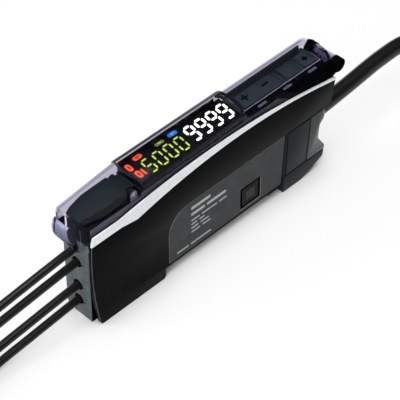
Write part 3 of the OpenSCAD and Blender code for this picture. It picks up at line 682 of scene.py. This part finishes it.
def cable_line():
    """Line of the cable: out of its gland, along its way, then disc by disc through its hank."""
    start = [Vector((CABLE_START_X_MM + x, 0, CABLE_Z_MM)) for x in (0, CABLE_STRAIGHT_MM)]
    line = smooth(start + way_points(CABLE_WAY, 0, CABLE_LANE_Y_MM, CABLE_Z_MM))[:-1]
    hank = (CABLE_HANK_X_MM, CABLE_HANK_Z_MM, CABLE_RUN_MM, 1)
    wide, tight = CABLE_LANES_MM
    for disc in range(CABLE_DISCS - 1):
        y = CABLE_LANE_Y_MM + disc * CABLE_DISC_MM
        first, second = (wide, tight) if disc % 2 == 0 else (tight, wide)
        line += hank_lap(hank, first, second, y, y)
        line += hank_lap(hank, second, second, y, y + CABLE_DISC_MM)
    y = CABLE_LANE_Y_MM + (CABLE_DISCS - 1) * CABLE_DISC_MM
    line += hank_lap(hank, tight, wide, y, y)
    line += hank_lap(hank, wide, wide, y, y, part=CABLE_LAST_RUN)
    return line


def head_outline(length, r):
    """Half section of a sensor head from its rear to its tip, as X and radius in metres."""
    tip = length - HEAD_TIP_MM * MM
    pitch, depth = THREAD_PITCH_MM * MM, THREAD_DEPTH_MM * MM
    collar, thin = HEAD_COLLAR_MM * MM, r - HEAD_TIP_STEP_MM * MM
    outline = [(0, 0), (0, r - depth), (depth, r), (collar, r)]
    for k in range(int((tip - HEAD_PLAIN_MM * MM) / pitch)):
        outline += [(collar + (k + 0.5) * pitch, r - depth), (collar + (k + 1) * pitch, r)]
    outline += [(tip - depth, r), (tip, r - depth), (tip, thin), (length, thin), (length, 0)]
    return outline


def make_heads():
    """Threaded sensor heads: one outline spun round its axis, then copied to each place."""
    low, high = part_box("head_1")
    outline = head_outline(high.x - low.x, (high.z - low.z) / 2)
    mesh = bpy.data.meshes.new("head_outline")
    mesh.from_pydata([(x, 0, z) for x, z in outline], [(k, k + 1) for k in range(len(outline) - 1)], [])
    master = bpy.data.objects.new("head_outline", mesh)
    bpy.context.scene.collection.objects.link(master)
    select_only(master)
    bpy.ops.object.mode_set(mode="EDIT")
    bpy.ops.mesh.select_all(action="SELECT")
    bpy.ops.mesh.spin(steps=HEAD_SIDES, angle=math.tau, center=(0, 0, 0), axis=(1, 0, 0))
    bpy.ops.mesh.select_all(action="SELECT")
    bpy.ops.mesh.remove_doubles(threshold=HEAD_MERGE_MM * MM)
    bpy.ops.mesh.normals_make_consistent(inside=False)
    bpy.ops.object.mode_set(mode="OBJECT")
    heads = []
    for i in range(len(FIBRE_Z_MM)):
        name = "head_%d" % (i + 1)
        low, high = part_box(name)
        place = Matrix.Translation((low.x, (low.y + high.y) / 2, (low.z + high.z) / 2))
        head = moved_copy(master, place)
        head.name = name + "_thread"
        select_only(head)
        bpy.ops.object.shade_smooth_by_angle(angle=math.radians(HEAD_SMOOTH_DEG))
        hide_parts(name)
        heads.append(settle(head, "case", nickel_plate))
    remove(master)
    return heads


def make_fibres():
    for i, head in enumerate(make_heads()):
        name = "fibre_%d" % (i + 1)
        cord = make_cord(name + "_cord", fibre_line(i), FIBRE_D_MM, black_pvc)
        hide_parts(name)
        if i == 0:
            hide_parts("fibre_hank")


def make_leads(end):
    """The cable's four insulated leads, fanned a little past the end of its jacket."""
    leads = []
    for i, colour in enumerate(LEAD_COLOURS):
        side, up = (-1, 1)[i % 2], (-1, 1)[i // 2]
        line = []
        for k in range(LEAD_POINTS):
            aside = side * (LEAD_ASIDE_MM + LEAD_FAN_MM * k)
            lift = up * LEAD_ASIDE_MM + LEAD_LIFT_MM * k * k
            line.append(end + Vector((LEAD_INSIDE_MM - LEAD_STEP_MM * k, aside, lift)))
        jacket = new_material("pvc_lead_%d" % (i + 1), colour, Roughness=0.45)
        add_surface(jacket, grit_mm=0.8, rough=(0.4, 0.5))
        leads.append(make_cord("lead_%d" % (i + 1), line, LEAD_D_MM, jacket))
    return leads


def make_cable():
    line = cable_line()
    cord = make_cord("cable_cord", line, CABLE_D_MM, black_pvc)
    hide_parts("cable", "cable_hank")
    make_leads(line[-1])


make_fibres()
make_cable()


# Display: digits and signal lamps under the cover

def make_digits(name, text, material, first_x, pitch, y, half_w, half_h, stroke, gap):
    """A row of seven-segment digits along X on top of the display. The gap is what a stroke's ends leave."""
    flat = make_bar(2 * half_w - gap, stroke, stroke * STROKE_TIP)
    tall = make_bar(half_h - gap, stroke, stroke * STROKE_TIP)
    lean = Matrix.Identity(4)
    lean[0][1] = DIGIT_LEAN
    marks = []
    for k, digit in enumerate(text):
        middle = at(first_x + k * pitch, y, DISPLAY_TOP_MM) @ lean
        for letter in STROKES[digit]:
            across, up, turn = SEGMENTS[letter]
            place = middle @ at(across * half_w, up * half_h, 0, turn)
            marks.append(moved_copy(tall if turn else flat, place))
    remove(flat, tall)
    settle(joined(name, marks), "case", material)


def make_lamp(name, length, width, x, y, turn_deg, material, ink):
    """A signal lamp: a flat field with round ends on top of the display, and a plain printed bar on it."""
    field = make_bar(length, width, width * LAMP_ROUND, LAMP_STEPS)
    set_mark(name, field, at(x, y, DISPLAY_TOP_MM, turn_deg), "case", material)
    bar = make_bar(length * LAMP_BAR_LENGTH, width * LAMP_BAR_WIDTH, width * LAMP_BAR_TIP)
    place = at(x, y, DISPLAY_TOP_MM + MARK_T_MM, turn_deg)
    set_mark(name + "_mark", bar, place, "case", ink)


make_digits(
    "set_value", "5000", green_light,
    first_x=-16.5, pitch=3.2, y=-0.9, half_w=0.95, half_h=2.05, stroke=0.38, gap=0.55
)
make_digits(
    "live_value", "9999", white_light,
    first_x=-2.9, pitch=3.33, y=-0.3, half_w=1.05, half_h=2.25, stroke=0.6, gap=0.5
)
# Lamps: length, width, X and Y of the middle in mm, turn in degrees, colour of the field and of its bar
for lamp in (
    ("output_lamp_1", 2.4, 1.2, -16.7, 2.7, 0, orange_light, lamp_ink),
    ("output_lamp_2", 2.3, 1.25, -20.2, 1.55, 90, orange_light, lamp_ink),
    ("output_lamp_3", 2.3, 1.25, -20.0, -1.3, 90, orange_light, lamp_ink),
    ("output_bar", 1.9, 0.5, -18.7, -1.4, 90, orange_light, orange_light),
    ("link_lamp", 2.6, 0.9, -10.2, 2.55, 0, dim_light, green_light),
    ("mode_lamp", 2.6, 1.2, -6.2, 2.7, 0, blue_light, grey_ink),
):
    make_lamp(*lamp)


# Key marks and the legend strip

def make_key_marks():
    low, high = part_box("rocker")
    middle = (low + high) / (2 * MM)
    y, z = middle.y + SIGN_Y_MM, high.z / MM
    plus = []
    for turn in (0, 90):
        bar = make_bar(*SIGN_BAR_MM)
        bar.data.transform(at(middle.x - SIGN_X_MM, y, z, turn))
        plus.append(bar)
    settle(joined("plus_mark", plus), "rocker", black_ink_and_painted_shade)
    minus = make_bar(*SIGN_BAR_MM)
    set_mark("minus_mark", minus, at(middle.x + SIGN_X_MM, y, z), "rocker", black_ink_and_painted_shade)
    low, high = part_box("select_button")
    middle = (low + high) / (2 * MM)
    place = at(middle.x, middle.y, high.z / MM)
    set_mark("select_mark", make_bar(*DIAMOND_MM), place, "select_button", black_ink_and_painted_shade)


def make_legend_strip():
    """Black printed strip along the near side of the keys, with a fine line and plain fields."""
    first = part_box("rocker")[0].x / MM - STRIP_REACH_MM[0]
    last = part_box("select_button")[1].x / MM + STRIP_REACH_MM[1]
    middle = (first + last) / 2
    strip = make_bar(last - first, STRIP_W_MM, STRIP_ROUND_MM, MARK_STEPS)
    set_mark("legend_strip", strip, at(middle, STRIP_Y_MM, DECK_TOP_MM), "case", black_ink_and_painted_shade)
    line = make_bar(last - first, STRIP_LINE_W_MM, STRIP_LINE_TIP_MM)
    set_mark("legend_line", line, at(middle, STRIP_LINE_Y_MM, DECK_TOP_MM), "case", grey_ink)
    field = make_bar(*STRIP_FIELD_MM)
    fields = []
    for k in range(STRIP_FIELDS):
        x = first + STRIP_FIELD_FIRST_MM + STRIP_FIELD_PITCH_MM * k
        fields.append(moved_copy(field, at(x, STRIP_FIELD_Y_MM, DECK_TOP_MM + MARK_T_MM)))
    remove(field)
    settle(joined("legend_fields", fields), "case", violet_ink)


make_key_marks()
make_legend_strip()


# Marks on the sides: the label's plain bars, with no lettering, and the lens fields of the windows

def make_label_print():
    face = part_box("label_near")[0].y / MM
    stand_up = Matrix.Rotation(math.radians(90), 4, "X")
    bars = []
    for z, x, height, lengths in LABEL_ROWS:
        for length in lengths:
            bar = make_bar(length, height, LABEL_BAR_TIP_MM)
            bar.data.transform(at(x + length / 2, face + MARK_T_MM / 2, z) @ stand_up)
            bars.append(bar)
            x += length + LABEL_WORD_GAP_MM
    settle(joined("label_print", bars), "case", label_ink)


def make_window_fields():
    """A plain lens field in the middle of each side window."""
    for name, edge, turn in (("window_near", 0, 90), ("window_far", 1, -90)):
        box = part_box(name)
        middle = (box[0] + box[1]) / (2 * MM)
        size = (box[1] - box[0]) / MM * LENS_SHARE
        field = make_bar(size.x, size.z, LENS_ROUND_MM, MARK_STEPS)
        place = at(middle.x, box[edge].y / MM, middle.z) @ Matrix.Rotation(math.radians(turn), 4, "X")
        set_mark(name + "_field", field, place, "case", lens_field)


make_label_print()
make_window_fields()


# Mouldings: copies of the solids with rounded edges

def foot_corner(a, b):
    """Corners of the foot's lower edge across the panel's thickness."""
    return max(a.z, b.z) < SLACK_MM and abs(a.x - b.x) < SLACK_MM and a.x < FOOT_X_MM


def lug_edge(a, b):
    """Long edges of the rear block's lug on both sides."""
    beside = abs(a.y - b.y) < SLACK_MM and abs(a.y) > LUG_SIDE_Y_MM
    return beside and min(a.x, b.x) > LUG_X_MM and min(a.z, b.z) > LUG_Z_MM and max(a.z, b.z) < BAND_Z_MM


def is_hook_plate(place, normal):
    return HOOK_PLATE_X_MM < place.x < REAR_BLOCK_X_MM and HOOK_TOP_MM < place.z < BAND_Z_MM


def is_front_rim_highlight(place, normal):
    return place.x < FRONT_RIM_X_MM and normal.x < -FRONT_RIM_LEAN and normal.y < -FRONT_RIM_LEAN


def is_rear_block(place, normal):
    return place.x > REAR_BLOCK_X_MM and HOOK_TOP_MM < place.z < BAND_Z_MM


def is_painted_shade_on_block(place, normal):
    """Painted shade: the seats of the fibres in the front block, and its near side, which the side cover
    shades, painted black.
    """
    depth = place.x - FIBRE_FACE_X_MM
    return SEAT_DEPTH_MM[0] < depth < SEAT_DEPTH_MM[1] or normal.y < -MOSTLY


def is_key_frame(place, normal):
    on_top = place.y > KEY_FRAME_Y_MM and place.z > DECK_TOP_MM - SLACK_MM
    return KEY_FRAME_X_MM < place.x < HINGE_X_MM and on_top


def is_hinge_ear(place, normal):
    return place.x > HINGE_X_MM


def is_deck_flank(place, normal):
    outwards = place.y * normal.y > 0 and abs(normal.y) > MOSTLY
    return abs(place.y) > DECK_FLANK_Y_MM and outwards


def is_painted_reflection_flank(place, normal):
    return place.x < FADE_X_MM[1] and is_deck_flank(place, normal)


def is_lip_sheen(place, normal):
    """Inner side of the finger lip's round front, painted pale as a sheen."""
    return place.x < LIP_X_MM and normal.x > LIP_FRONT_LEAN


def is_lip_shade(place, normal):
    """Inner sides of the finger lip's two cheeks, painted dark grey as shade."""
    return place.x < LIP_X_MM and place.y * normal.y < -LIP_CHEEK_MM


def is_near_flank(place, normal):
    return normal.y < -FULLY and place.y < COVER_FLANK_Y_MM


def past_fade(place, normal, x):
    """Whether a face of the cover's near flank lies past the slanted line through X at the fade's height."""
    past = Vector((place.x - x, 0, place.z - FADE_Z_MM)).dot(FADE_NORMAL) > 0
    return past and is_near_flank(place, normal)


def is_dark_painted_reflection(place, normal):
    return past_fade(place, normal, FADE_X_MM[0])


def is_black_painted_reflection(place, normal):
    return past_fade(place, normal, FADE_X_MM[1])


def on_hump(place):
    """Whether a place on the cover lies on its raised stretch over the display."""
    return HUMP_X_MM[0] < place.x < HUMP_X_MM[1] and place.z > HUMP_LOW_MM


def is_frame_print(place, normal):
    end = abs(normal.x) > MOSTLY and normal.z < MOSTLY
    far = place.y > HUMP_FAR_Y_MM and normal.y > FRAME_LEAN
    return on_hump(place) and (end or far)


def is_frame_edge_highlight(place, normal):
    return on_hump(place) and place.y > HUMP_FAR_Y_MM and LINE_LEAN < normal.y < FRAME_LEAN


def is_label_edge_highlight(place, normal):
    return abs(normal.y) < MOSTLY


panel = dressed("side_cover", gloss_black, edge_mm=0.18, corners=foot_corner, corner_mm=0.8)
paint_faces(panel, grey_abs, is_hook_plate)
# Painted highlight: the panel's rounded front edge in the block's lighter grey
paint_faces(panel, grey_block, is_front_rim_highlight)
shell = dressed("case", satin_black, edge_mm=0.15, corners=lug_edge, corner_mm=1.2)
paint_faces(shell, grey_gloss, is_rear_block)
block = dressed("front_block", grey_block, edge_mm=0.08)
# Painted shade: the fibre seats and the block's near side in black
paint_faces(block, black_ink_and_painted_shade, is_painted_shade_on_block)
deck = dressed("deck", satin_black, edge_mm=0.1)
for x in (FADE_X_MM[1], HINGE_X_MM):
    split_faces(deck, is_deck_flank, (x, 0, 0), (1, 0, 0))
# Painted reflection: the deck's flanks up to the fade in violet grey, seen through the cover
paint_faces(deck, deck_painted_reflection, is_painted_reflection_flank)
paint_faces(deck, key_frame, is_key_frame)
paint_faces(deck, black_ink_and_painted_shade, is_hinge_ear)
dressed("rail_hook", grey_abs, edge_mm=0.25)
dressed("lock_lever", lever_nylon, edge_mm=0.25, steps=3)
for key in ("rocker", "mode_button", "select_button"):
    dressed(key, key_rubber, edge_mm=0.2, steps=3)
dressed("display_module", display_glass, edge_mm=0.15)
cover = dressed("cover", smoked_cover, edge_mm=0.12)
cover.visible_shadow = False
paint_faces(cover, frame_print_and_lip_shade, is_frame_print)
# Painted highlight: a light grey line along the far edge of the display's frame
paint_faces(cover, frame_edge_highlight, is_frame_edge_highlight)
# Painted sheen on the lip's round front, painted shade on its cheeks
paint_faces(cover, lip_painted_sheen, is_lip_sheen)
paint_faces(cover, frame_print_and_lip_shade, is_lip_shade)
for x in FADE_X_MM:
    split_faces(cover, is_near_flank, (x, 0, FADE_Z_MM), FADE_NORMAL)
# Painted dark reflection on the cover's near flank by the hinge: dark, then black
paint_faces(cover, flank_dark_reflection, is_dark_painted_reflection)
paint_faces(cover, black_ink_and_painted_shade, is_black_painted_reflection)
dressed("cable_gland", black_pvc, edge_mm=0.2)
for tie in ("cable_tie", "fibre_tie"):
    dressed(tie, nylon_strap, edge_mm=0.2)


# Finishes of the pieces that keep the shape of their solids

def coat(material, *names):
    for name in names:
        nodes[name].data.materials.clear()
        nodes[name].data.materials.append(material)


coat(satin_black, "optic_holder")
coat(silver_trim, "trim_near", "trim_far")
coat(label_film, "label_near")
# Painted highlight: a pale line on the label's cut edge
paint_faces(nodes["label_near"], label_edge_highlight, is_label_edge_highlight)
coat(dark_window, "window_near", "window_far")
coat(bright_steel, "fibre_clamp", "lever_pin", "rocker_pin", "hinge_pin", "hook_spring", "tact_switches")
coat(emitter_resin, "emitters")
coat(receiver_resin, "receivers")
coat(board_mask, "main_board", "key_board")


# Stage and light

def make_stage():
    """A white floor that keeps a faint shadow: part of what the camera sees of it is plain white, and ambient
    occlusion cuts that part back close to the object, a painted contact shadow over the real one.
    """
    bpy.ops.object.select_all(action="DESELECT")
    bpy.ops.mesh.primitive_plane_add(size=FLOOR_M, location=(0, 0, 0))
    floor = bpy.context.object
    floor.name = "floor"
    material = new_material("white_floor", "#f4f4f4", Roughness=0.9, Specular_IOR_Level=0.0)
    tree = material.node_tree
    path = add_node(tree, "ShaderNodeLightPath")
    seen = add_node(tree, "ShaderNodeMath", {"operation": "ADD"})
    tree.links.new(path.outputs["Is Camera Ray"], seen.inputs[0])
    tree.links.new(path.outputs["Is Glossy Ray"], seen.inputs[1])
    shown = add_node(tree, "ShaderNodeMath", {"operation": "ADD", "use_clamp": True})
    tree.links.new(seen.outputs[0], shown.inputs[0])
    tree.links.new(path.outputs["Is Transmission Ray"], shown.inputs[1])
    # Painted contact shadow: ambient occlusion lowers the white share close to the object
    painted_contact_shadow = add_node(tree, "ShaderNodeAmbientOcclusion", {"Distance": FLOOR_PAINTED_SHADOW_MM * MM})
    reach = {"From Min": FLOOR_PAINTED_SHADOW_FROM, "To Max": FLOOR_WHITE}
    open_share = add_node(tree, "ShaderNodeMapRange", reach, Value=painted_contact_shadow.outputs["AO"])
    share = add_node(tree, "ShaderNodeMath", {"operation": "MULTIPLY"})
    tree.links.new(shown.outputs[0], share.inputs[0])
    tree.links.new(open_share.outputs["Result"], share.inputs[1])
    glow = add_node(tree, "ShaderNodeEmission", {"Color": WHITE, "Strength": 1.0})
    mix = add_node(tree, "ShaderNodeMixShader")
    tree.links.new(share.outputs[0], mix.inputs[0])
    tree.links.new(tree.nodes["Principled BSDF"].outputs[0], mix.inputs[1])
    tree.links.new(glow.outputs[0], mix.inputs[2])
    tree.links.new(mix.outputs[0], tree.nodes["Material Output"].inputs["Surface"])
    floor.data.materials.append(material)


def make_light():
    world = bpy.data.worlds.new("studio")
    bpy.context.scene.world = world
    world.use_nodes = True
    world.node_tree.nodes["Background"].inputs["Color"].default_value = WHITE
    world.node_tree.nodes["Background"].inputs["Strength"].default_value = WORLD_STRENGTH
    for name, place, size, watts in LIGHTS:
        data = bpy.data.lights.new(name, "AREA")
        data.size = size
        data.energy = watts
        lamp = bpy.data.objects.new(name, data)
        bpy.context.scene.collection.objects.link(lamp)
        lamp.location = place
        lamp.rotation_euler = (-Vector(place)).to_track_quat("-Z", "Y").to_euler()


make_stage()
make_light()
bpy.context.scene.view_settings.view_transform = "Standard"
